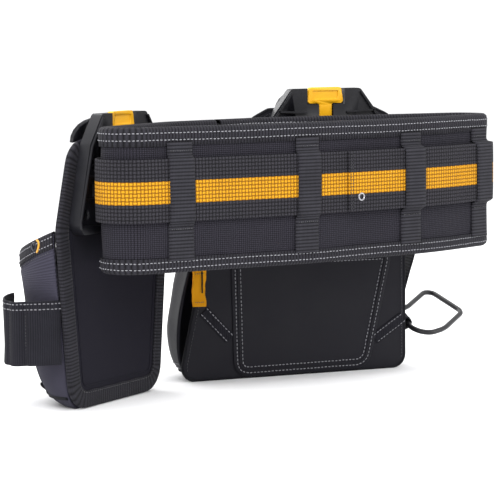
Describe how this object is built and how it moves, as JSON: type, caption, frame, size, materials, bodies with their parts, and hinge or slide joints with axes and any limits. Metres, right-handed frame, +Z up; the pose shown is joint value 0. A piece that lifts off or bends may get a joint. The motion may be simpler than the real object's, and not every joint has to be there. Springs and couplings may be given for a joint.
{
  "type": "tool belt",
  "caption": "Padded tool belt closed in a ring, with a tall pouch and a wide pouch that lift off belt hubs, thumb latches and a wire hammer loop.",
  "frame": {"origin": "on the floor under the middle of the bounding box", "axes": "+X along the long side of the ring, +Y from the wearer's back pad towards the pouches, +Z up"},
  "size_m": [0.467, 0.2496, 0.254],
  "materials": {
    "pad_fabric": "dark charcoal coarse woven polyester",
    "foam": "soft closed foam, hidden in the pad",
    "binding": "ribbed black grosgrain tape with white double stitching",
    "webbing": "heavy black woven webbing with a yellow stripe along its middle",
    "grey_fabric": "slate grey woven polyester with a plastic backing",
    "black_fabric": "black plastic-coated polyester over a stiff board, fine grain, soft sheen",
    "yellow_fabric": "yellow woven tape",
    "plastic": "black moulded plastic, light satin grain",
    "yellow_plastic": "yellow moulded plastic, satin",
    "coated_wire": "steel wire with a black plastic coat",
    "metal": "plated steel"
  },
  "bodies": {
    "belt": {"belt_loop_1": "binding", "belt_loop_2": "binding", "belt_loop_3": "binding", "belt_loop_4": "binding", "belt_loop_5": "binding", "belt_loop_6": "binding", "buckle_housing": "plastic", "buckle_plug": "plastic", "hub_a": "plastic", "hub_b": "plastic", "pad_bottom_binding": "binding", "pad_cover": "pad_fabric", "pad_foam": "foam", "pad_lining": "pad_fabric", "pad_top_binding": "binding", "webbing": "webbing", "webbing_eyelet": "metal", "webbing_free_end": "webbing"},
    "pouch_a": {"back_binding_a": "binding", "back_panel_a": "black_fabric", "bracket_a": "plastic", "bracket_screw_a_1": "metal", "bracket_screw_a_2": "metal", "bracket_screw_a_3": "metal", "bracket_screw_a_4": "metal", "latch_pin_a": "metal", "main_pocket_a": "grey_fabric", "pocket_rim_a": "binding", "rivet_a": "metal", "tool_sleeve_a": "binding"},
    "pouch_b": {"back_panel_b": "black_fabric", "back_patch_b": "black_fabric", "bracket_b": "plastic", "bracket_screw_b_1": "metal", "bracket_screw_b_2": "metal", "bracket_screw_b_3": "metal", "bracket_screw_b_4": "metal", "front_pocket_b": "black_fabric", "hammer_loop_keeper": "binding", "latch_pin_b": "metal", "main_pocket_b": "black_fabric", "pocket_rim_b": "binding", "pull_tab_b": "yellow_fabric", "side_strap_b": "binding"},
    "latch_a": {"latch_a": "yellow_plastic"},
    "latch_b": {"latch_b": "yellow_plastic"},
    "hammer_loop": {"hammer_loop": "coated_wire"},
    "buckle_arm_upper": {"buckle_arm_upper": "plastic"},
    "buckle_arm_lower": {"buckle_arm_lower": "plastic"}
  },
  "joints": [
    {"name": "pouch_a_lift", "type": "slide", "parent": "belt", "child": "pouch_a", "axis": [0, 0, 1], "range_m": [0, 0.075]},
    {"name": "pouch_b_lift", "type": "slide", "parent": "belt", "child": "pouch_b", "axis": [0, 0, 1], "range_m": [0, 0.075]},
    {"name": "latch_a_press", "type": "hinge", "parent": "pouch_a", "child": "latch_a", "pos_m": [-0.1296, -0.03245, 0.213], "axis": [0.788, 0.6157, 0], "range_deg": [0, 5], "stiffness_Nm_per_rad": 0.5},
    {"name": "latch_b_press", "type": "hinge", "parent": "pouch_b", "child": "latch_b", "pos_m": [0.07989, 0.02857, 0.227], "axis": [1, 0, 0], "range_deg": [0, 5], "stiffness_Nm_per_rad": 0.5},
    {"name": "hammer_loop_swing", "type": "hinge", "parent": "pouch_b", "child": "hammer_loop", "pos_m": [0.16939, 0.06867, 0.046], "axis": [0, 0.9397, 0.342], "range_deg": [-60, 25]},
    {"name": "buckle_upper_squeeze", "type": "hinge", "parent": "belt", "child": "buckle_arm_upper", "pos_m": [-0.03929, 0.00234, 0.203], "axis": [0.3256, -0.9455, 0], "range_deg": [0, 4], "stiffness_Nm_per_rad": 0.3},
    {"name": "buckle_lower_squeeze", "type": "hinge", "parent": "belt", "child": "buckle_arm_lower", "pos_m": [-0.03929, 0.00234, 0.157], "axis": [-0.3256, 0.9455, 0], "range_deg": [0, 4], "stiffness_Nm_per_rad": 0.3}
  ],
  "couplings": [
    {"joint": "buckle_lower_squeeze", "follows": "buckle_upper_squeeze", "ratio": 1}
  ]
}
